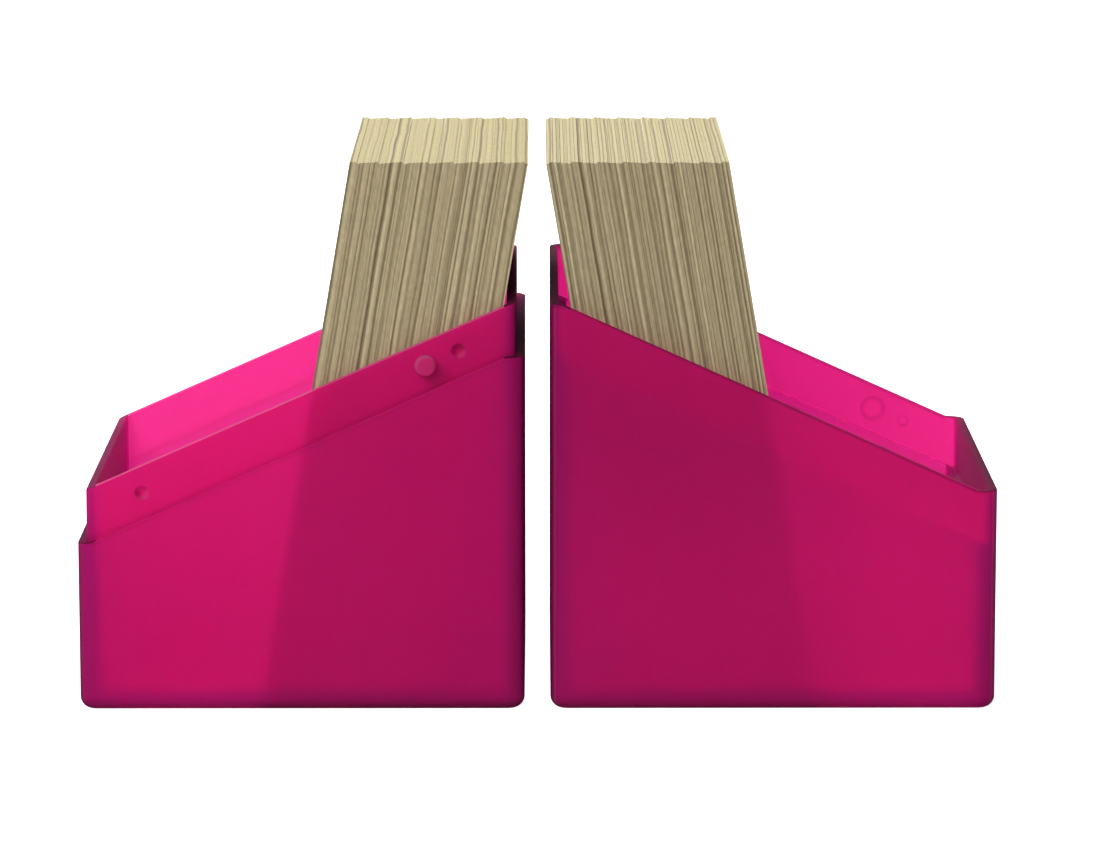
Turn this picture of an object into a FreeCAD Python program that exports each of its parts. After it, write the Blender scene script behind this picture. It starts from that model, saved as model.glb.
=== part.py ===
import FreeCAD, Part
import Sketcher
import math
import os
import re

# A two-part deck case standing open: the base half and the lid half side by side, each a
# moulded tray whose walls run from a short end to a tall end, and each with a stack of
# playing cards leaning on its tall end. Shut, the lid half turns over about X and drops on
# the ledge of the base half, around the lip.
#
# Frame: millimetres, +X along the row, base half towards -X and lid half towards +X,
# +Y across, +Z up. The origin is on the floor, midway between the two halves.

SIZES = {
    # Case, outside
    "half_length": 76.0,         # one half along X, wall to wall
    "stand_gap": 4.4,            # between the two halves as they stand
    "corner_radius": 3.0,        # upright outer corners
    "foot_radius": 2.0,          # outer edge around the floor
    # Walls
    "wall_thickness": 3.0,       # full wall, below the parting line
    "floor_thickness": 2.5,
    "inner_corner_radius": 1.5,  # upright inner corners
    "floor_fillet": 1.0,         # between floor and walls, inside
    "edge_rounding": 0.25,       # free edges of the lip, the ledge and the lid rim
    # Parting line, heights on the base half
    "step_low": 29.0,            # ledge at the short end
    "step_high": 61.0,           # ledge at the tall end
    "step_flat_low": 2.0,        # level run of the ledge at the short end
    "step_flat_high": 3.2,       # level run of the ledge at the tall end
    "parting_bend": 2.0,         # radius where the parting line turns level
    "skirt_thickness": 1.5,      # width of the ledge outside the lip
    "lip_height": 9.0,           # lip above the ledge at either end
    "lip_flat_high": 0.7,        # level run of the lip at the tall end
    "lip_clearance": 0.1,        # sideways, lip to the inside of the lid rim
    "lip_headroom": 0.2,         # upwards, lip to the shoulder inside the lid
    # Snaps on the long walls, at half the height of the lip
    "boss_diameter": 3.7,        # round pad on the lip
    "boss_height": 0.35,
    "boss_inset": 16.7,          # pad centre from the tall end of the base half
    "boss_clearance": 0.3,       # around the pad, in its pocket in the lid
    "boss_floor_clearance": 0.1,  # behind the pad, in its pocket in the lid
    "dimple_radius": 2.2,        # ball that forms a dimple
    "dimple_depth": 0.4,
    "dimple_inset": 11.1,        # dimple centres from both ends
    "bump_radius": 1.4,          # ball that forms a bump on the lid, which enters a dimple
    "bump_height": 0.25,
    "boss_chamfer": 0.12,        # edge of a pad
    # Cards
    "card_width": 66.0,
    "card_height": 92.0,
    "card_thickness": 0.58,
    "card_side_room": 1.5,       # card to each long wall
    "card_head_room": 2.0,       # over an upright card in the shut case
    "base_card_gap": 0.01,       # mean space between cards of a packet in the base half
    "lid_card_gap": 0.03,        # mean space between cards of a packet in the lid half
    "packet_gap": 0.035,         # between packets
    "card_unevenness": 0.15,     # how far a card stands off its neighbours, sideways and up
    "lean_angle": 9.7,           # degrees from upright, back towards the tall end
    "seat_clearance": 0.3,       # card to floor, and last card to the edge of the tall wall
    "packets_per_half": 10,      # a packet is the few cards that fingers take together
    "cards_per_packet": 5,
}

# What follows from the sizes. A place along a half is its distance from the outer face of
# the base half's short end, which is where the tall end of the lid half comes when shut.
FITS = {
    "half_width": "card_width + 2 * (card_side_room + wall_thickness)",
    "closed_height": "card_height + card_head_room + 2 * floor_thickness",
    "step_slope": "(step_high - step_low) / (half_length - step_flat_low - step_flat_high)",
    "lip_low": "step_low + lip_height",
    "lip_high": "step_high + lip_height",
    "snap_rise": "lip_height / 2",
    "lid_skirt": "skirt_thickness - lip_clearance",
    "boss_place": "half_length - boss_inset",
    "dimple_place_1": "dimple_inset",
    "dimple_place_2": "half_length - dimple_inset",
}
DIMPLE_PLACES = ("dimple_place_1", "dimple_place_2")
WALLS = (("near", -1), ("far", 1))    # the long walls, by the sign of their Y

doc = FreeCAD.newDocument("deck_case")
sheet = doc.addObject("Spreadsheet::Sheet", "sizes")
for row, (alias, number) in enumerate(SIZES.items(), start=1):
    sheet.set(f"A{row}", alias)
    sheet.set(f"B{row}", str(number))
    sheet.setAlias(f"B{row}", alias)
doc.recompute()


def in_sizes(word):
    """A word of a formula: a size by its cell, and what follows written out in the sizes."""
    if word in FITS:
        return f"({written_out(FITS[word])})"
    return f"sizes.{word}" if word in SIZES else word


def written_out(formula):
    return re.sub(r"[a-z][a-z_0-9]*", lambda word: in_sizes(word.group()), formula)


def bind(target, prop, formula):
    """Tie one property to a formula written in the tables' names."""
    target.setExpression(prop, written_out(formula))


def size(name):
    """The value that the tables give one name."""
    return float(sheet.evalExpression(in_sizes(name)))


def from_low_end(distance):
    """X in a half's own frame, from a distance to the base's short end or the lid's tall end."""
    return f"({distance}) - half_length / 2"


def base_step_height(distance):
    """Height of the sloping ledge at a distance from the short end."""
    return f"(step_low + step_slope * (({distance}) - step_flat_low))"


def base_snap_height(distance):
    """Height of a snap's middle on the lip of the base half."""
    return f"({base_step_height(distance)} + snap_rise)"


# ---------------------------------------------------------------- sketches and features

def origin_plane(body, role):
    return next(item for item in body.Origin.OriginFeatures if item.Role == role)


def new_sketch(body, name, plane_role, offset="0"):
    """An empty sketch on one of the body's planes, moved out along its normal."""
    sketch = body.newObject("Sketcher::SketchObject", name)
    sketch.AttachmentSupport = [(origin_plane(body, plane_role), "")]
    sketch.MapMode = "FlatFace"
    bind(sketch, "AttachmentOffset.Base.z", offset)
    return sketch


def pin_point(sketch, geometry, point, label, place):
    """Fix a point of the sketch by two named dimensions from the origin."""
    for kind, formula in zip(("DistanceX", "DistanceY"), place):
        index = sketch.addConstraint(Sketcher.Constraint(kind, -1, 1, geometry, point, 1.0))
        name = f"{label}_{kind[-1].lower()}"
        sketch.renameConstraint(index, name)
        bind(sketch, f"Constraints.{name}", formula)


def draw_polygon(sketch, places):
    """A closed outline through places given as pairs of formulas."""
    count = len(places)
    start = [FreeCAD.Vector(math.cos(turn), math.sin(turn), 0)
             for turn in (2 * math.pi * number / count for number in range(count))]
    for number in range(count):
        sketch.addGeometry(Part.LineSegment(start[number], start[(number + 1) % count]), False)
    for number in range(count):
        sketch.addConstraint(
            Sketcher.Constraint("Coincident", number, 2, (number + 1) % count, 1))
    for number, place in enumerate(places):
        pin_point(sketch, number, 1, f"corner_{number}", place)


def draw_circle(sketch, centre, diameter):
    ring = Part.Circle(FreeCAD.Vector(1, 1, 0), FreeCAD.Vector(0, 0, 1), 1.0)
    geometry = sketch.addGeometry(ring, False)
    pin_point(sketch, geometry, 3, f"centre_{geometry}", centre)
    index = sketch.addConstraint(Sketcher.Constraint("Diameter", geometry, 1.0))
    name = f"diameter_{geometry}"
    sketch.renameConstraint(index, name)
    bind(sketch, f"Constraints.{name}", diameter)


def volume_of(body):
    return 0.0 if body.Shape.isNull() else body.Shape.Volume


def extrude(body, kind, name, sketch, length=None, symmetric=False, reverse=False):
    """A Pad or Pocket of the sketch. With no length it runs through everything."""
    before = volume_of(body)
    feature = body.newObject(f"PartDesign::{kind}", name)
    feature.Profile = sketch
    feature.Reversed = reverse
    if length is None:
        feature.Type = "ThroughAll"
    else:
        bind(feature, "Length", length)
    if symmetric:
        feature.SideType = "Symmetric"
    doc.recompute()
    grown = volume_of(body) - before
    if grown == 0 or (grown > 0) != (kind == "Pad"):
        raise RuntimeError(f"{name} did not change the body as it should")
    return feature


def dress_edges(body, kind, name, keep):
    """A Fillet or Chamfer, not yet sized, on every edge of the body for which keep(edge) holds."""
    last = body.Tip
    edges = [f"Edge{number}" for number, edge in enumerate(last.Shape.Edges, start=1)
             if keep(edge)]
    if not edges:
        raise RuntimeError(f"{name} found no edge")
    feature = body.newObject(f"PartDesign::{kind}", name)
    feature.Base = (last, edges)
    return feature


def settle(feature):
    doc.recompute()
    if feature.Shape.isNull() or "Invalid" in feature.State:
        raise RuntimeError(f"{feature.Label} failed")


def round_edges(body, name, radius, keep):
    fillet = dress_edges(body, "Fillet", name, keep)
    bind(fillet, "Radius", radius)
    settle(fillet)


def chamfer_edges(body, name, width, keep):
    chamfer = dress_edges(body, "Chamfer", name, keep)
    bind(chamfer, "Size", width)
    settle(chamfer)


def mirror_across(body, name, originals):
    """Repeat features on the far long wall."""
    mirrored = body.newObject("PartDesign::Mirrored", name)
    mirrored.Originals = originals
    mirrored.MirrorPlane = (origin_plane(body, "XZ_Plane"), [""])
    body.Tip = mirrored
    doc.recompute()


# --------------------------------------------------------------------- choosing edges

CLOSE = 0.01
BEND_SLACK = 0.1              # a bend strays this far from the two straight runs it joins
NEAR_BOTH_ENDS = (0.1, 0.9)   # shares of an edge's length where its height is looked at
FACING_UP = 0.5               # upward part of a face's normal, from which it is a rim


def middle_of(edge):
    return edge.valueAt((edge.FirstParameter + edge.LastParameter) / 2)


def lowest_of(edge):
    return min(vertex.Z for vertex in edge.Vertexes)


def is_upright(edge):
    if edge.Curve.TypeId != "Part::GeomLine":
        return False
    return abs(edge.tangentAt(edge.FirstParameter).z) > 1 - CLOSE


def inset_of(point):
    """How far a point lies inside the plain outline of a half, seen from above."""
    along = size("half_length") / 2 - abs(point.x)
    across = size("half_width") / 2 - abs(point.y)
    return min(along, across)


def lies_at(height):
    return lambda edge: abs(middle_of(edge).z - height) < CLOSE


def upright_at(inset, above):
    """Upright edges at one inset that start no lower than a height."""
    return lambda edge: (is_upright(edge) and abs(inset_of(middle_of(edge)) - inset) < CLOSE
                         and lowest_of(edge) > above - CLOSE)


def rings_at(across, radius):
    """Circular edges on both long walls, at one distance from the middle of the half."""
    return lambda edge: (edge.Curve.TypeId == "Part::GeomCircle"
                         and abs(edge.Curve.Radius - radius) < CLOSE
                         and abs(abs(edge.Curve.Center.y) - across) < CLOSE)


def faces_up(face):
    first_u, last_u, first_v, last_v = face.ParameterRange
    normal = face.normalAt((first_u + last_u) / 2, (first_v + last_v) / 2)
    return normal.z > FACING_UP


def bends_at(distances):
    """Straight edges across a half, at X places in its own frame, above its floor."""
    def keep(edge):
        place = middle_of(edge)
        level = edge.Curve.TypeId == "Part::GeomLine" and abs(place.y) < CLOSE
        return (level and abs(edge.tangentAt(edge.FirstParameter).y) > 1 - CLOSE
                and place.z > size("floor_thickness") + CLOSE
                and any(abs(place.x - distance) < CLOSE for distance in distances))
    return keep


def broken_line(places):
    """Height over X through a list of places, level beyond both ends."""
    def height(x):
        if x <= places[0][0]:
            return places[0][1]
        for (x_low, z_low), (x_high, z_high) in zip(places, places[1:]):
            if x <= x_high:
                return z_low + (z_high - z_low) * (x - x_low) / (x_high - x_low)
        return places[-1][1]
    return height


def rim_edges(body, height, least_inset, most_inset):
    """Edges between a rim and a wall, where the rim follows a line of heights over X."""
    shape = body.Tip.Shape

    def keep(edge):
        if is_upright(edge) or not least_inset <= inset_of(middle_of(edge)) < most_inset:
            return False
        span = edge.LastParameter - edge.FirstParameter
        points = [edge.valueAt(edge.FirstParameter + share * span) for share in NEAR_BOTH_ENDS]
        if any(abs(point.z - height(point.x)) > BEND_SLACK for point in points):
            return False
        return not all(faces_up(face) for face in shape.ancestorsOfType(edge, Part.Face))
    return keep


# ------------------------------------------------------------------------- the two trays

def new_half(name, side):
    """A body for one half, centred on its own length and set down on its side of the row."""
    body = doc.addObject("PartDesign::Body", name)
    bind(body, "Placement.Base.x", f"{side} * (stand_gap + half_length) / 2")
    return body


def mould_block(body, profile):
    """The solid block of a half: its side profile, full width, with rounded corners."""
    sketch = new_sketch(body, "side_profile", "XZ_Plane")
    draw_polygon(sketch, profile)
    extrude(body, "Pad", "block", sketch, "half_width", symmetric=True)
    end = size("half_length") / 2
    bends = (-end + size("step_flat_low"), end - size("step_flat_high"))
    round_edges(body, "rim_bends", "parting_bend", bends_at(bends))
    round_edges(body, "outer_corners", "corner_radius", is_upright)
    round_edges(body, "foot", "foot_radius", lies_at(0.0))


def hollow_out(body):
    """The card space, open at the top."""
    sketch = new_sketch(body, "card_space_outline", "XY_Plane", "floor_thickness")
    x_end = "half_length / 2 - wall_thickness"
    y_end = "half_width / 2 - wall_thickness"
    draw_polygon(sketch, [(f"-({x_end})", f"-({y_end})"), (x_end, f"-({y_end})"),
                          (x_end, y_end), (f"-({x_end})", y_end)])
    extrude(body, "Pocket", "card_space", sketch, reverse=True)


def round_inside(body):
    """Rounded upright corners and floor edge in the card space."""
    round_edges(body, "inner_corners", "inner_corner_radius",
                upright_at(size("wall_thickness"), size("floor_thickness")))
    round_edges(body, "floor_edge", "floor_fillet", lies_at(size("floor_thickness")))


def base_lip_line():
    """Rim of the lip over X, in the base half's own frame."""
    end = size("half_length") / 2 - size("skirt_thickness")
    return broken_line([(-end, size("lip_low")),
                        (end - size("lip_flat_high"), size("lip_high"))])


def base_step_line():
    """Ledge over X, in the base half's own frame."""
    end = size("half_length") / 2
    return broken_line([(-end + size("step_flat_low"), size("step_low")),
                        (end - size("step_flat_high"), size("step_high"))])


def make_base_half():
    body = new_half("base_half", -1)
    left = from_low_end("0")
    right = from_low_end("half_length")
    mould_block(body, [
        (left, "0"), (right, "0"), (right, "step_high"),
        (from_low_end("half_length - step_flat_high"), "step_high"),
        (from_low_end("step_flat_low"), "step_low"), (left, "step_low")])

    lip_left = from_low_end("skirt_thickness")
    lip_right = from_low_end("half_length - skirt_thickness")
    lip = new_sketch(body, "lip_profile", "XZ_Plane")
    draw_polygon(lip, [
        (lip_left, "floor_thickness"), (lip_right, "floor_thickness"), (lip_right, "lip_high"),
        (from_low_end("half_length - skirt_thickness - lip_flat_high"), "lip_high"),
        (lip_left, "lip_low")])
    extrude(body, "Pad", "lip", lip, "half_width - 2 * skirt_thickness", symmetric=True)
    skirt = size("skirt_thickness")
    lip_bend = size("half_length") / 2 - skirt - size("lip_flat_high")
    round_edges(body, "lip_bend", "parting_bend", bends_at([lip_bend]))
    round_edges(body, "lip_corners", "corner_radius - skirt_thickness",
                upright_at(skirt, size("step_low")))
    hollow_out(body)
    round_inside(body)

    inside = size("wall_thickness") + size("inner_corner_radius")
    round_edges(body, "lip_edges", "edge_rounding",
                rim_edges(body, base_lip_line(), skirt - CLOSE, inside))
    round_edges(body, "ledge_edge", "edge_rounding",
                rim_edges(body, base_step_line(), -CLOSE, skirt - CLOSE))
    add_base_snaps(body)
    return body


def add_base_snaps(body):
    """Round pads and dimples on the outside of the lip, on both long walls."""
    lip_face = "half_width / 2 - skirt_thickness"
    pad_outline = new_sketch(body, "boss_outline", "XZ_Plane", lip_face)
    draw_circle(pad_outline, (from_low_end("boss_place"), base_snap_height("boss_place")),
                "boss_diameter")
    boss = extrude(body, "Pad", "boss", pad_outline, "boss_height")
    mirror_across(body, "far_boss", [boss])
    for wall, side in WALLS:
        for number, distance in enumerate(DIMPLE_PLACES, start=1):
            ball = body.newObject("PartDesign::SubtractiveSphere", f"{wall}_dimple_{number}")
            bind(ball, "Radius", "dimple_radius")
            bind(ball, "Placement.Base.x", from_low_end(distance))
            bind(ball, "Placement.Base.y", f"{side} * ({lip_face} + dimple_radius - dimple_depth)")
            bind(ball, "Placement.Base.z", base_snap_height(distance))
    doc.recompute()
    pad_face = size("half_width") / 2 - size("skirt_thickness") + size("boss_height")
    chamfer_edges(body, "boss_edges", "boss_chamfer",
                  rings_at(pad_face, size("boss_diameter") / 2))


def lid_rim_line():
    """Rim over X, in the lid half's own frame."""
    end = size("half_length") / 2
    closed = size("closed_height")
    return broken_line([(-end + size("step_flat_low"), closed - size("step_low")),
                        (end - size("step_flat_high"), closed - size("step_high"))])


def make_lid_half():
    body = new_half("lid_half", 1)
    left = from_low_end("0")
    right = from_low_end("half_length")
    rim_high = "closed_height - step_low"
    rim_low = "closed_height - step_high"
    mould_block(body, [
        (left, "0"), (right, "0"), (right, rim_low),
        (from_low_end("half_length - step_flat_high"), rim_low),
        (from_low_end("step_flat_low"), rim_high), (left, rim_high)])
    hollow_out(body)

    shoulder_high = "closed_height - lip_low - lip_headroom"
    shoulder_low = "closed_height - lip_high - lip_headroom"
    inner_left = from_low_end("lid_skirt")
    inner_right = from_low_end("half_length - lid_skirt")
    seat = new_sketch(body, "lip_seat_profile", "XZ_Plane")
    draw_polygon(seat, [
        (inner_left, shoulder_high),
        (from_low_end("half_length - skirt_thickness - lip_flat_high"), shoulder_low),
        (inner_right, shoulder_low), (inner_right, "closed_height"),
        (inner_left, "closed_height")])
    extrude(body, "Pocket", "lip_seat", seat, "half_width - 2 * lid_skirt", symmetric=True)
    round_inside(body)
    thin_wall = size("skirt_thickness") - size("lip_clearance")
    round_edges(body, "lip_seat_corners", "corner_radius - skirt_thickness",
                upright_at(thin_wall, size("floor_thickness")))
    round_edges(body, "rim_edges", "edge_rounding",
                rim_edges(body, lid_rim_line(), -CLOSE, size("wall_thickness")))
    add_lid_snaps(body)
    return body


def lid_snap_height(distance):
    """A snap on the base half, seen from the lid half once it is turned over on top."""
    return f"closed_height - {base_snap_height(distance)}"


def add_lid_snaps(body):
    """Pockets for the pads and bumps for the dimples, inside both long walls."""
    seat_face = "half_width / 2 - lid_skirt"
    outline = new_sketch(body, "boss_pocket_outline", "XZ_Plane", seat_face)
    draw_circle(outline, (from_low_end("boss_place"), lid_snap_height("boss_place")),
                "boss_diameter + 2 * boss_clearance")
    depth = "boss_height - lip_clearance + boss_floor_clearance"
    pocket = extrude(body, "Pocket", "boss_pocket", outline, depth, reverse=True)
    mirror_across(body, "far_boss_pocket", [pocket])
    for wall, side in WALLS:
        for number, distance in enumerate(DIMPLE_PLACES, start=1):
            ball = body.newObject("PartDesign::AdditiveSphere", f"{wall}_bump_{number}")
            bind(ball, "Radius", "bump_radius")
            ball.Angle1 = 0     # a half ball, flat side in the wall
            ball.Placement.Rotation = FreeCAD.Rotation(FreeCAD.Vector(1, 0, 0), side * 90)
            bind(ball, "Placement.Base.x", from_low_end(distance))
            bind(ball, "Placement.Base.y", f"{side} * ({seat_face} + bump_radius - bump_height)")
            bind(ball, "Placement.Base.z", lid_snap_height(distance))
    doc.recompute()


# ------------------------------------------------------------------------------ cards

GOLDEN_SHARE = (math.sqrt(5) - 1) / 2


def uneven(number):
    """A repeatable spread of values between -1 and 1, one for each whole number."""
    return 2 * math.modf(number * GOLDEN_SHARE)[0] - 1


TALLER = 3          # strides through the spread, so that a card's height, its place
SIDEWAYS = 2        # across and the space behind it vary on their own
GAP_SPREAD = 0.9    # share by which one space differs from the mean at most
CARD_FOOT = "(floor_thickness + seat_clearance)"


def stack_foot(wall_rim):
    """X of the last card's foot, from the half's middle towards its tall end.

    The back of the stack passes the inner edge of the tall wall's rim at the seat clearance.
    """
    inner_edge = "(half_length / 2 - wall_thickness)"
    return (f"({inner_edge} - seat_clearance / cos(lean_angle)"
            f" - ({wall_rim} - {CARD_FOOT}) * tan(lean_angle))")


def add_card(name, side, foot, number, room):
    """One card of a stack, counted from the tall end, with the room left behind it so far."""
    card = doc.addObject("Part::Box", name)
    bind(card, "Length", "card_thickness")
    bind(card, "Width", "card_width")
    bind(card, "Height", f"card_height + {uneven(number * TALLER):.3f} * card_unevenness")
    spread = f"({number} * card_thickness + {room}) / cos(lean_angle)"
    foot_x = f"({foot} - {spread})"
    middle = "(stand_gap + half_length) / 2"
    shift = "card_thickness * cos(lean_angle)" if side < 0 else "0"
    rise = "card_thickness * sin(lean_angle)" if side < 0 else "0"
    bind(card, "Placement.Base.x", f"{side} * ({middle} - {foot_x}) - {shift}")
    bind(card, "Placement.Base.y",
         f"{uneven(number * SIDEWAYS):.3f} * card_unevenness - card_width / 2")
    bind(card, "Placement.Base.z", f"{CARD_FOOT} + {rise}")
    card.Placement.Rotation.Axis = FreeCAD.Vector(0, -side, 0)
    bind(card, "Placement.Rotation.Angle", "lean_angle")
    return card


def make_stack(half, side, wall_rim, gap_name):
    """The cards of one half, as packets numbered from the front of the stack."""
    foot = stack_foot(wall_rim)
    per_packet = round(size("cards_per_packet"))
    packets = round(size("packets_per_half"))
    gaps = 0.0
    number = 0
    made = []
    for behind in range(packets):
        cards = []
        for _ in range(per_packet):
            room = f"{gaps:.3f} * {gap_name} + {behind} * packet_gap"
            cards.append(add_card(f"{half}_card_{number:03d}", side, foot, number, room))
            gaps += 1 + GAP_SPREAD * uneven(number)
            number += 1
        gaps -= 1 + GAP_SPREAD * uneven(number - 1)
        packet = doc.addObject("Part::Compound", f"{half}_card_packet_{packets - behind:02d}")
        packet.Links = cards
        made.append(packet)
    return made


# ---------------------------------------------------------------- build, check and write

def check(parts):
    doc.recompute()
    for item in doc.Objects:
        if "Invalid" in item.State or "Error" in item.State:
            raise RuntimeError(f"{item.Label} did not recompute: {item.State}")
    for item in parts:
        if item.Shape.isNull() or not item.Shape.isValid():
            raise RuntimeError(f"{item.Label} has no valid shape")


parts = [make_base_half(), make_lid_half()]
parts += make_stack("base", -1, "lip_high", "base_card_gap")
parts += make_stack("lid", 1, "(closed_height - step_low)", "lid_card_gap")
check(parts)

os.makedirs("parts", exist_ok=True)
for part in parts:
    part.Shape.exportStep(f"parts/{part.Label}.step")
print(f"{len(parts)} sub-parts written")
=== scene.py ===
import math

import bpy
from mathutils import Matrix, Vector

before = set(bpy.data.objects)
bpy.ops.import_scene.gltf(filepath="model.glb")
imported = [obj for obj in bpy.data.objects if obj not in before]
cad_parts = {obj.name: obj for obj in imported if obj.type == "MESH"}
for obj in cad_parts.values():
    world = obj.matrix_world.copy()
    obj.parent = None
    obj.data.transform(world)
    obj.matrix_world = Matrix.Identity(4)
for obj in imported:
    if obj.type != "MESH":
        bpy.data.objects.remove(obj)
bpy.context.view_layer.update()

scene = bpy.context.scene
scene.view_settings.view_transform = "Standard"


# ---------------------------------------------------------------- node helpers

class Nodes:
    """A node tree, with short calls to add and join nodes."""

    def __init__(self, tree):
        self.tree = tree

    def add(self, kind, inputs=None, **props):
        """A new node. Its inputs are constants, or results of other nodes."""
        made = self.tree.nodes.new("ShaderNode" + kind)
        for key, value in props.items():
            setattr(made, key, value)
        for key, value in (inputs or {}).items():
            self.feed(made.inputs[key], value)
        return made

    def feed(self, socket, value):
        if isinstance(value, bpy.types.NodeSocket):
            self.tree.links.new(value, socket)
        else:
            socket.default_value = value

    def math(self, operation, *values):
        made = self.add("Math", operation=operation)
        for socket, value in zip(made.inputs, values):
            self.feed(socket, value)
        return made.outputs[0]

    def dot(self, vector, direction):
        return self.add("VectorMath", {0: vector, 1: direction},
                        operation="DOT_PRODUCT").outputs["Value"]

    def fade(self, value, start, stop, low, high):
        """low where value is under start, high where it is over stop, smooth between."""
        return self.add("MapRange", {"Value": value, "From Min": start, "From Max": stop,
                                     "To Min": low, "To Max": high},
                        interpolation_type="SMOOTHSTEP").outputs["Result"]

    def ramp(self, value, stops):
        made = self.add("ValToRGB", {"Fac": value})
        while len(made.color_ramp.elements) < len(stops):
            made.color_ramp.elements.new(1.0)
        for element, (place, colour) in zip(made.color_ramp.elements, stops):
            element.position = place
            element.color = (*colour, 1.0)
        return made.outputs["Color"]

    def noise(self, place, scale, detail, roughness, dimensions="3D"):
        """Noise at a place, or along one distance where dimensions is 1D."""
        at = "W" if dimensions == "1D" else "Vector"
        return self.add("TexNoise", {at: place, "Scale": scale, "Detail": detail,
                                     "Roughness": roughness},
                        noise_dimensions=dimensions).outputs["Fac"]

    def mix(self, factor, first, second, blend="MIX"):
        return self.add("Mix", {"Factor": factor, "A": first, "B": second},
                        data_type="RGBA", blend_type=blend).outputs["Result"]


class Material(Nodes):
    """A new material around its Principled shader."""

    def __init__(self, name):
        self.material = bpy.data.materials.new(name)
        self.material.use_nodes = True
        super().__init__(self.material.node_tree)
        self.shader = self.tree.nodes["Principled BSDF"]
        coordinates = self.add("TexCoord").outputs
        self.place = coordinates["Object"]
        self.normal = coordinates["Normal"]

    def surface(self, inputs):
        """Constants, or results of nodes, for the shader's inputs."""
        for key, value in inputs.items():
            self.feed(self.shader.inputs[key], value)


# --------------------------------------------------------------- the two halves

MM_PER_M = 1000.0
FACES_UP = 0.5            # over this, a face's normal points up: rims and ledges
FACES_ALONG = 0.8         # over this, it points along X: faces of the end walls

# Snap details on the long walls, in millimetres: middles as (X, Z), and distances from them.
BOSS = (-18.9, 59.4)
BOSS_EDGE = (1.75, 1.95)
DIMPLES = ((-67.1, 37.6), (-13.3, 61.9))
DIMPLE_EDGE = (1.1, 1.4)
POCKET = (61.5, 39.6)
POCKET_RADIUS = 1.95
BUMPS = ((67.1, 37.1), (13.3, 61.4))
BUMP_RADIUS = 0.85

# Sloping lines, as (X, Z) at both ends, in millimetres.
LEDGE_LINE = ((-75.2, 29.45), (-5.2, 60.99))
BASE_RIM_LINE = ((-75.2, 38.39), (-5.2, 69.37))
LID_RIM_LINE = ((5.2, 69.55), (74.5, 37.95))

# How far from a line its band lasts in full, and where it has faded out: bands of painted shade
# along the ledge and the lid's rim, and of painted highlight along the base's rim.
LEDGE_BAND = (0.3, 1.1)
BASE_RIM_BAND = (0.3, 0.6)
LID_RIM_BAND = (0.0, 0.45)

# Stretches along X, in millimetres: a whole half, its sloping rim, the tops of its tall and
# short end walls, and the inner face of the short one.
BASE_SPAN = (-78.2, -2.2)
BASE_SLOPE = (-75.0, -5.6)
BASE_TALL_TOP = (-5.6, 0.0)
BASE_SHORT_TOP = (-80.0, -75.0)
BASE_SHORT_WALL = (-75.8, -74.0)
LID_SPAN = (2.2, 78.2)
LID_TALL_TOP = (0.0, 5.6)
LID_SHORT_TOP = (75.0, 80.0)
LID_SHORT_WALL = (74.0, 77.2)

# Distances from the middle plane, in millimetres.
LIP_FACE = (35.5, 36.6)       # outside of the base half's lip
RABBET_FACE = (35.9, 36.9)    # inside of the lid half's rim
# Reach from the middle plane of the painted sheen on inner faces.
BASE_INSIDE = 35.0
LID_INSIDE = 36.7

CORNER_WIDTH = 0.8            # of the band of painted shade at each upright outer corner
CORNER_LIGHT = 0.40
FOOT = (0.2, 2.6)             # heights between which the painted shade at the foot fades out
LID_DEEPENS = (12.0, 55.0)    # heights between which painted shade grows on the lid half's near wall, in full above the upper one
TOPS_ROUGHER = 0.3
CLOUD_SCALE = 22.0
GRAIN_SCALE = 900.0
TINT_LOW = (0.92, 0.012, 0.285)
TINT_HIGH = (0.95, 0.018, 0.310)
# Tint of the painted highlights and painted sheen.
PAINTED_HIGHLIGHT_TINT = (0.98, 0.22, 0.52, 1.0)


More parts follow.
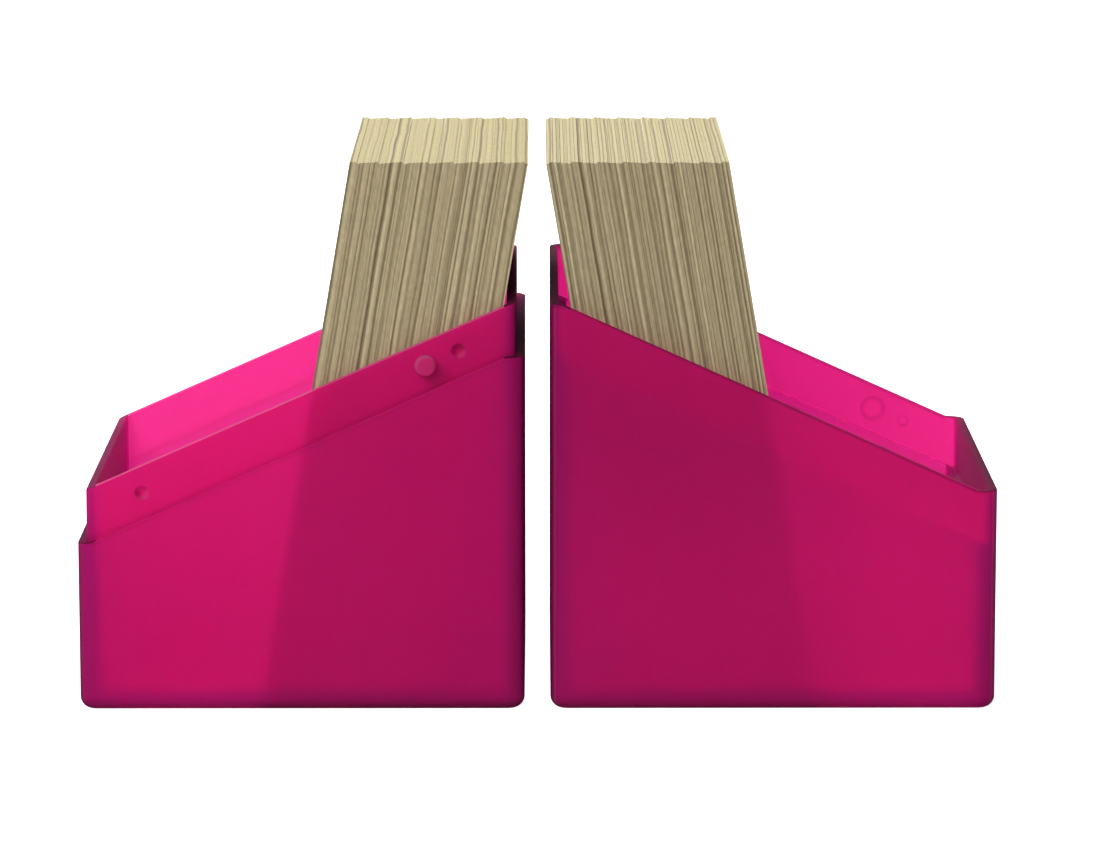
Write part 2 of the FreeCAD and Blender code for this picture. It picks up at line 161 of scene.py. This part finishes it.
class Moulded(Material):
    """Translucent magenta polypropylene: a frosted skin over a tinted, slightly cloudy wall, with
    painted shade and painted highlights laid into its colour.

    Places are in millimetres, and y is the distance from the middle plane. A mask is 1 where it
    holds and 0 elsewhere.
    """

    def __init__(self, name):
        super().__init__(name)
        in_mm = self.add("VectorMath", {0: self.place, "Scale": MM_PER_M}, operation="SCALE")
        axes = self.add("SeparateXYZ", {"Vector": in_mm.outputs["Vector"]}).outputs
        facing = self.add("SeparateXYZ", {"Vector": self.normal}).outputs
        self.x = axes["X"]
        self.y = self.math("ABSOLUTE", axes["Y"])
        self.z = axes["Z"]
        self.front = self.math("LESS_THAN", axes["Y"], 0.0)     # the long wall at negative Y
        self.top = self.math("GREATER_THAN", facing["Z"], FACES_UP)
        self.crosswise = self.math("GREATER_THAN", self.math("ABSOLUTE", facing["X"]), FACES_ALONG)
        # The colour's light factor, which painted shade multiplies down.
        self.light = 1.0
        # The share of painted highlight tint mixed into the colour.
        self.pale = 0.0
        self.relief = 0.0

    def overlap(self, *masks):
        """The mask where every mask holds."""
        product = masks[0]
        for mask in masks[1:]:
            product = self.math("MULTIPLY", product, mask)
        return product

    def within(self, value, low, high):
        return self.overlap(self.math("GREATER_THAN", value, low),
                            self.math("LESS_THAN", value, high))

    def stretch(self, faces, span):
        """The part of a mask that lies in a span of X."""
        return self.overlap(faces, self.within(self.x, *span))

    def distance(self, middle, shift=0.0):
        """Distance from a middle that is moved by shift along X and against Z."""
        across = self.math("SUBTRACT", self.x, middle[0] + shift)
        up = self.math("SUBTRACT", self.z, middle[1] - shift)
        return self.math("SQRT", self.math("ADD", self.math("MULTIPLY", across, across),
                                           self.math("MULTIPLY", up, up)))

    def near(self, middle, inner, outer, shift=0.0):
        """1 within inner of a middle, 0 past outer."""
        return self.fade(self.distance(middle, shift), inner, outer, 1.0, 0.0)

    def beyond(self, middle, inner, outer, shift=0.0):
        """0 within inner of a middle, 1 past outer."""
        return self.fade(self.distance(middle, shift), inner, outer, 0.0, 1.0)

    def line_height(self, line):
        """Height of a sloping line over this point's X, level beyond the line's ends."""
        (x0, z0), (x1, z1) = line
        return self.add("MapRange", {"Value": self.x, "From Min": x0, "From Max": x1,
                                     "To Min": z0, "To Max": z1}).outputs["Result"]

    # Painted shade: multiply the colour's light factor by factor.
    def deepen(self, factor):
        self.light = self.math("MULTIPLY", self.light, factor)

    def shade(self, mask, low):
        """Painted shade: deepen the colour to low where the mask holds."""
        self.deepen(self.math("MULTIPLY_ADD", mask, low - 1.0, 1.0))

    def paint_highlight(self, mask, share):
        """Painted highlight: paler by a share where the mask holds."""
        self.pale = self.math("MULTIPLY_ADD", mask, share, self.pale)

    def raise_spot(self, middle, inner, outer, height, mask):
        """A soft round pad in millimetres, or a hollow where height is negative."""
        pad = self.fade(self.distance(middle), inner, outer, height, 0.0)
        self.relief = self.math("ADD", self.relief, self.overlap(pad, mask))

    def paint_shade_ring(self, middle, radius, width, low, mask):
        # Painted shade: a dark ring at the edge of a pocket or bump.
        off = self.math("ABSOLUTE", self.math("SUBTRACT", self.distance(middle), radius))
        self.shade(self.overlap(self.fade(off, 0.0, width, 1.0, 0.0), mask), low)

    def paint_inner_sheen(self, reach, share):
        """Painted sheen: paler within reach of the middle plane, but not on the faces of the end
        walls.
        """
        lengthwise = self.math("SUBTRACT", 1.0, self.crosswise)
        self.paint_highlight(self.overlap(self.within(self.y, 0.0, reach), lengthwise), share)

    def paint_edge_shade(self, span, foot_light):
        """Painted shade: the foot and the upright outer corners are deeper in colour, standing in
        for long light paths through the wall.
        """
        low_x, high_x = span
        self.deepen(self.fade(self.z, *FOOT, foot_light, 1.0))
        for inwards in (self.math("SUBTRACT", self.x, low_x),
                        self.math("SUBTRACT", high_x, self.x)):
            self.deepen(self.fade(inwards, 0.0, CORNER_WIDTH, CORNER_LIGHT, 1.0))

    def finish(self):
        """Lay what was gathered on the shader: cloudy colour deepened by the painted shade and
        paled by the painted highlights, with grain and a tinted wall.
        """
        cloud = self.noise(self.place, CLOUD_SCALE, 3.0, 0.5)
        colour = self.ramp(cloud, [(0.3, TINT_LOW), (0.7, TINT_HIGH)])
        colour = self.mix(self.pale, colour, PAINTED_HIGHLIGHT_TINT)
        light = self.add("CombineXYZ", {axis: self.light for axis in "XYZ"}).outputs["Vector"]
        skin = self.noise(self.place, GRAIN_SCALE, 2.0, 0.6)
        rough = self.math("ADD", self.fade(skin, 0.0, 1.0, 0.76, 0.86),
                          self.math("MULTIPLY", self.top, TOPS_ROUGHER))
        raised = self.add("Bump", {"Height": self.relief, "Strength": 1.0,
                                   "Distance": 1.0 / MM_PER_M})
        grain = self.add("Bump", {"Height": skin, "Strength": 0.06, "Distance": 0.0002,
                                  "Normal": raised.outputs["Normal"]})
        self.surface({"Base Color": self.mix(1.0, colour, light, "MULTIPLY"),
                      "Roughness": self.math("MINIMUM", rough, 1.0),
                      "Normal": grain.outputs["Normal"],
                      "IOR": 1.49,
                      "Specular IOR Level": 0.3,
                      "Specular Tint": (1.0, 0.12, 0.40, 1.0),
                      "Transmission Weight": 0.80})
        absorb = self.add("VolumeAbsorption",
                          {"Color": (0.33, 0.00, 0.78, 1.0), "Density": 90.0})
        self.tree.links.new(absorb.outputs["Volume"],
                            self.tree.nodes["Material Output"].inputs["Volume"])
        return self.material


def base_plastic():
    """The base half: pads and dimples on its lip, its ledge and its rim."""
    wall = Moulded("frosted_magenta_base")
    lip = wall.within(wall.y, *LIP_FACE)

    wall.raise_spot(BOSS, inner=1.45, outer=2.05, height=0.35, mask=lip)
    # Painted highlight on the boss's face and on a crescent at its upper left; painted shadow at
    # its lower right, reaching towards the ledge.
    inside = wall.overlap(wall.near(BOSS, *BOSS_EDGE), lip)
    outside = wall.overlap(wall.beyond(BOSS, *BOSS_EDGE), lip)
    wall.paint_highlight(inside, share=0.22)
    wall.paint_highlight(wall.overlap(inside, wall.beyond(BOSS, 1.45, 2.0, shift=0.35)), share=0.60)
    wall.shade(wall.overlap(outside, wall.near(BOSS, 1.3, 2.6, shift=0.55)), low=0.60)
    wall.shade(wall.overlap(outside, wall.near(BOSS, 0.6, 3.6, shift=2.2)), low=0.68)

    for middle in DIMPLES:
        wall.raise_spot(middle, inner=0.1, outer=1.45, height=-0.45, mask=lip)
        # Painted shade in each dimple's upper left and painted highlight in its lower right,
        # fainter on the far wall.
        fainter_behind = wall.math("MULTIPLY_ADD", wall.front, 0.7, 0.3)
        hollow = wall.overlap(wall.near(middle, *DIMPLE_EDGE), lip, fainter_behind)
        wall.shade(wall.overlap(hollow, wall.beyond(middle, 0.4, 1.3, shift=0.45)), low=0.58)
        wall.paint_highlight(wall.overlap(hollow, wall.beyond(middle, 1.0, 1.7, shift=-0.6)), share=0.30)

    # Painted shade along the ledge, on the near wall only.
    off_ledge = wall.math("ABSOLUTE", wall.math("SUBTRACT", wall.z, wall.line_height(LEDGE_LINE)))
    wall.shade(wall.overlap(wall.front, wall.fade(off_ledge, *LEDGE_BAND, 1.0, 0.0)), low=0.92)
    # Painted highlight along the top of the sloping rim.
    under_rim = wall.math("SUBTRACT", wall.line_height(BASE_RIM_LINE), wall.z)
    rim = wall.overlap(wall.top, wall.fade(under_rim, *BASE_RIM_BAND, 1.0, 0.0))
    wall.paint_highlight(wall.stretch(rim, BASE_SLOPE), share=1.0)
    # Painted shade on the tops of the tall and short end walls and on the short wall's inner face.
    wall.shade(wall.stretch(wall.top, BASE_TALL_TOP), low=0.12)
    wall.shade(wall.stretch(wall.top, BASE_SHORT_TOP), low=0.32)
    wall.shade(wall.stretch(wall.crosswise, BASE_SHORT_WALL), low=0.62)
    wall.paint_inner_sheen(BASE_INSIDE, share=0.35)
    wall.paint_edge_shade(BASE_SPAN, foot_light=0.50)
    return wall.finish()


def lid_plastic():
    """The lid half: pockets and bumps inside its rim, and the rim."""
    wall = Moulded("frosted_magenta_lid")
    rabbet = wall.within(wall.y, *RABBET_FACE)
    # Painted shade around the pocket and bumps inside the rim.
    wall.paint_shade_ring(POCKET, POCKET_RADIUS, width=0.7, low=0.76, mask=rabbet)
    for middle in BUMPS:
        wall.paint_shade_ring(middle, BUMP_RADIUS, width=0.5, low=0.88, mask=rabbet)

    # Painted shade over the upper part of the lid half's near wall.
    wall.shade(wall.overlap(wall.front, wall.fade(wall.z, *LID_DEEPENS, 0.0, 1.0)), low=0.88)
    # Painted shade along the lid half's rim.
    under_rim = wall.math("SUBTRACT", wall.line_height(LID_RIM_LINE), wall.z)
    wall.deepen(wall.fade(under_rim, *LID_RIM_BAND, 0.65, 1.0))
    # Painted shade on the tops of the tall and short end walls and on the short wall's inner face.
    wall.shade(wall.stretch(wall.top, LID_TALL_TOP), low=0.12)
    wall.shade(wall.stretch(wall.top, LID_SHORT_TOP), low=0.36)
    wall.shade(wall.stretch(wall.crosswise, LID_SHORT_WALL), low=0.68)
    wall.paint_inner_sheen(LID_INSIDE, share=0.20)
    wall.paint_edge_shade(LID_SPAN, foot_light=0.60)
    return wall.finish()


# ------------------------------------------------------------------- the cards

LEAN = math.radians(9.7)            # from upright, back towards the tall end
SLOPE_SIGN = {"base": -1, "lid": 1}  # of rise over X, on the way through the stack
# Painted shade: the lid half's copy of the card stock is darker.
STOCK_PAINTED_SHADE = {"base": 1.0, "lid": 0.94}
BROAD = 0.7                         # over this, a card's normal points through the stack
CARD_TOP = 0.7                      # over this, it points up: the top edge
LINE_WANDER = 0.0005                # in metres, how far a line strays
LAYER_SCALE = 1450.0
GAP_SHADE_SCALE = 2100.0
PULP_SCALE = 60.0
WANDER_STRETCH = (300.0, 45.0, 45.0)
FIBRE_STRETCH = (2000.0, 1100.0, 700.0)
SWELL = 0.000012                    # in metres, of each broad face


def through_stack(half):
    """The direction square to the broad faces of a half's cards."""
    return Vector((math.cos(LEAN), 0.0, SLOPE_SIGN[half] * math.sin(LEAN)))


def card_stock(half):
    """A leaning stack: cream edges with fine lines along the lean, partly painted shade, lighter
    painted tops, and plain broad faces.
    """
    stock = Material("card_stock_" + half)
    through = through_stack(half)
    wander = stock.add("Mapping", {"Vector": stock.place, "Scale": WANDER_STRETCH})
    wander = stock.noise(wander.outputs["Vector"], 1.0, 1.0, 0.5)
    depth = stock.math("MULTIPLY_ADD", wander, LINE_WANDER, stock.dot(stock.place, through))
    layers = stock.noise(depth, LAYER_SCALE, 1.0, 0.5, "1D")
    gap_shade = stock.noise(depth, GAP_SHADE_SCALE, 1.0, 0.5, "1D")

    # The edges' stripes are the cards' own layers and, in part, painted shade of cards that stand
    # at uneven depths.
    sides = stock.ramp(layers, [(0.26, (0.150, 0.115, 0.062)), (0.42, (0.250, 0.203, 0.115)),
                                (0.54, (0.312, 0.258, 0.150)), (0.72, (0.400, 0.338, 0.206))])
    # Painted light: the top edges get a lighter copy of the edge colours.
    painted_lit_tops = stock.ramp(layers, [(0.26, (0.22, 0.165, 0.072)), (0.40, (0.395, 0.328, 0.150)),
                               (0.62, (0.462, 0.392, 0.182))])
    facing = stock.add("SeparateXYZ", {"Vector": stock.normal}).outputs
    on_top = stock.math("GREATER_THAN", facing["Z"], CARD_TOP)
    edges = stock.mix(on_top, sides, painted_lit_tops)
    # Painted shade in the gaps between the cards: fine dark lines along the lean.
    lines = stock.ramp(gap_shade, [(0.28, (0.62, 0.59, 0.54)), (0.38, (1.0, 1.0, 1.0))])
    edges = stock.mix(1.0, edges, lines, "MULTIPLY")

    pulp = stock.noise(stock.place, PULP_SCALE, 4.0, 0.6)
    plain = stock.ramp(pulp, [(0.35, (0.430, 0.370, 0.235)), (0.65, (0.455, 0.395, 0.255))])
    turned = stock.math("ABSOLUTE", stock.dot(stock.normal, through))
    broad = stock.math("GREATER_THAN", turned, BROAD)
    colour = stock.mix(broad, edges, plain)

    fibre = stock.add("Mapping", {"Vector": stock.place, "Scale": FIBRE_STRETCH})
    fibre = stock.noise(fibre.outputs["Vector"], 1.0, 3.0, 0.6)
    half_shade = STOCK_PAINTED_SHADE[half]
    fine = stock.ramp(fibre, [(0.3, (0.86 * half_shade,) * 3), (0.7, (1.10 * half_shade,) * 3)])
    rough = stock.add("MapRange", {"Value": fibre, "To Min": 0.6, "To Max": 0.8})
    stock.surface({"Base Color": stock.mix(1.0, colour, fine, "MULTIPLY"),
                   "Roughness": rough.outputs["Result"],
                   "Specular IOR Level": 0.2})
    return stock.material


def press_together(node, half):
    """Swell the cards' broad faces by a hair, which all but closes the slits between them."""
    through = through_stack(half)
    broad = node.vertex_groups.new(name="broad_faces")
    broad.add([v.index for v in node.data.vertices if abs(v.normal.dot(through)) > BROAD],
              1.0, "REPLACE")
    swell = node.modifiers.new("pressed_together", "DISPLACE")
    swell.vertex_group = "broad_faces"
    swell.mid_level = 0.0
    swell.strength = SWELL


plastics = {"base": base_plastic(), "lid": lid_plastic()}
stocks = {half: card_stock(half) for half in ("base", "lid")}
for name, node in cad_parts.items():
    half = name.split("_")[0]
    node.data.materials[0] = (plastics if name.endswith("_half") else stocks)[half]
    if name.startswith("lid_card_packet"):
        press_together(node, half)


# -------------------------------------------------------- floor, light, camera

WHITE = (1.0, 1.0, 1.0, 1.0)
FLOOR_GREY = (0.70, 0.70, 0.70, 1.0)
FLOOR_REACH = 6.0         # in metres, from the middle to each side
FLOOR_HEIGHT = -0.0001
FLOOR_SEEN = 0.95         # glow that the camera sees
FLOOR_BACK = 0.90         # glow behind the object, which lights it
BACK_DEPTH = (0.0, 0.20)  # distances behind the middle between which it grows
BACK_ASIDE = (0.05, 0.30)  # distances aside between which it falls off
SKY_EVEN = 0.06           # strength all round
SKY_BACK = 0.18           # added behind the object
SKY_UP = 0.10             # added overhead
SKY_FOCUS = 6.0           # how closely the sky's two bright parts gather
LENS = 165.07
CAMERA_PLACE = (0.00041, -0.89167, 0.19984)
CAMERA_DOWN = 9.945       # in degrees
CAMERA_TURN = -0.224


def floor():
    """A pale floor, plain white to the camera; its far part glows, as a lit backdrop does."""
    mesh = bpy.data.meshes.new("floor")
    reach = FLOOR_REACH
    corners = ((-reach, -reach), (reach, -reach), (reach, reach), (-reach, reach))
    mesh.from_pydata([(x, y, FLOOR_HEIGHT) for x, y in corners], [], [(0, 1, 2, 3)])
    plane = bpy.data.objects.new("floor", mesh)
    scene.collection.objects.link(plane)
    ground = Material("floor")
    axes = ground.add("SeparateXYZ", {"Vector": ground.place}).outputs
    behind = ground.fade(axes["Y"], *BACK_DEPTH, 0.0, FLOOR_BACK)
    middle = ground.fade(ground.math("ABSOLUTE", axes["X"]), *BACK_ASIDE, 1.0, 0.0)
    seen = ground.math("MULTIPLY", ground.add("LightPath").outputs["Is Camera Ray"], FLOOR_SEEN)
    glow = ground.math("MAXIMUM", ground.math("MULTIPLY", behind, middle), seen)
    ground.surface({"Base Color": FLOOR_GREY,
                    "Roughness": 0.9,
                    "Specular IOR Level": 0.1,
                    "Emission Color": WHITE,
                    "Emission Strength": glow})
    mesh.materials.append(ground.material)


def sky():
    """A studio sky, brightest behind the object and dim at the sides; white to the camera."""
    world = bpy.data.worlds.new("studio")
    scene.world = world
    world.use_nodes = True
    air = Nodes(world.node_tree)
    direction = air.add("TexCoord").outputs["Generated"]
    strength = SKY_EVEN
    for axis, share in (((0.0, 1.0, 0.0), SKY_BACK), ((0.0, 0.0, 1.0), SKY_UP)):
        towards = air.math("MAXIMUM", air.dot(direction, axis), 0.0)
        strength = air.math("MULTIPLY_ADD", air.math("POWER", towards, SKY_FOCUS), share, strength)
    lit = air.tree.nodes["Background"]
    air.feed(lit.inputs["Color"], WHITE)
    air.feed(lit.inputs["Strength"], strength)
    seen = air.add("Background", {"Color": WHITE, "Strength": 1.0})
    shown = air.add("MixShader", {"Fac": air.add("LightPath").outputs["Is Camera Ray"],
                                  1: lit.outputs[0], 2: seen.outputs[0]})
    air.feed(air.tree.nodes["World Output"].inputs["Surface"], shown.outputs[0])


def softbox(name, place, target, side, power):
    """A square lamp at place that looks at target."""
    light = bpy.data.lights.new(name, "AREA")
    light.shape = "RECTANGLE"
    light.size = side
    light.size_y = side
    light.energy = power
    lamp = bpy.data.objects.new(name, light)
    lamp.location = place
    lamp.rotation_euler = (Vector(target) - Vector(place)).to_track_quat("-Z", "Y").to_euler()
    scene.collection.objects.link(lamp)


floor()
sky()
softbox("front_box", (-0.25, -1.10, 0.55), (0.0, 0.0, 0.04), 0.5, 13.0)
softbox("over_box", (-0.30, -0.15, 0.80), (0.0, 0.0, 0.05), 0.3, 3.0)
softbox("back_box", (-0.06, 0.60, 0.60), (0.0, 0.0, 0.04), 0.25, 6.0)

camera = bpy.data.objects.new("camera", bpy.data.cameras.new("camera"))
camera.data.sensor_width = 36.0
camera.data.lens = LENS
camera.data.clip_start = 0.05
camera.data.clip_end = 40.0
camera.location = CAMERA_PLACE
camera.rotation_euler = (math.radians(90.0 - CAMERA_DOWN), 0.0, math.radians(CAMERA_TURN))
scene.collection.objects.link(camera)
scene.camera = camera
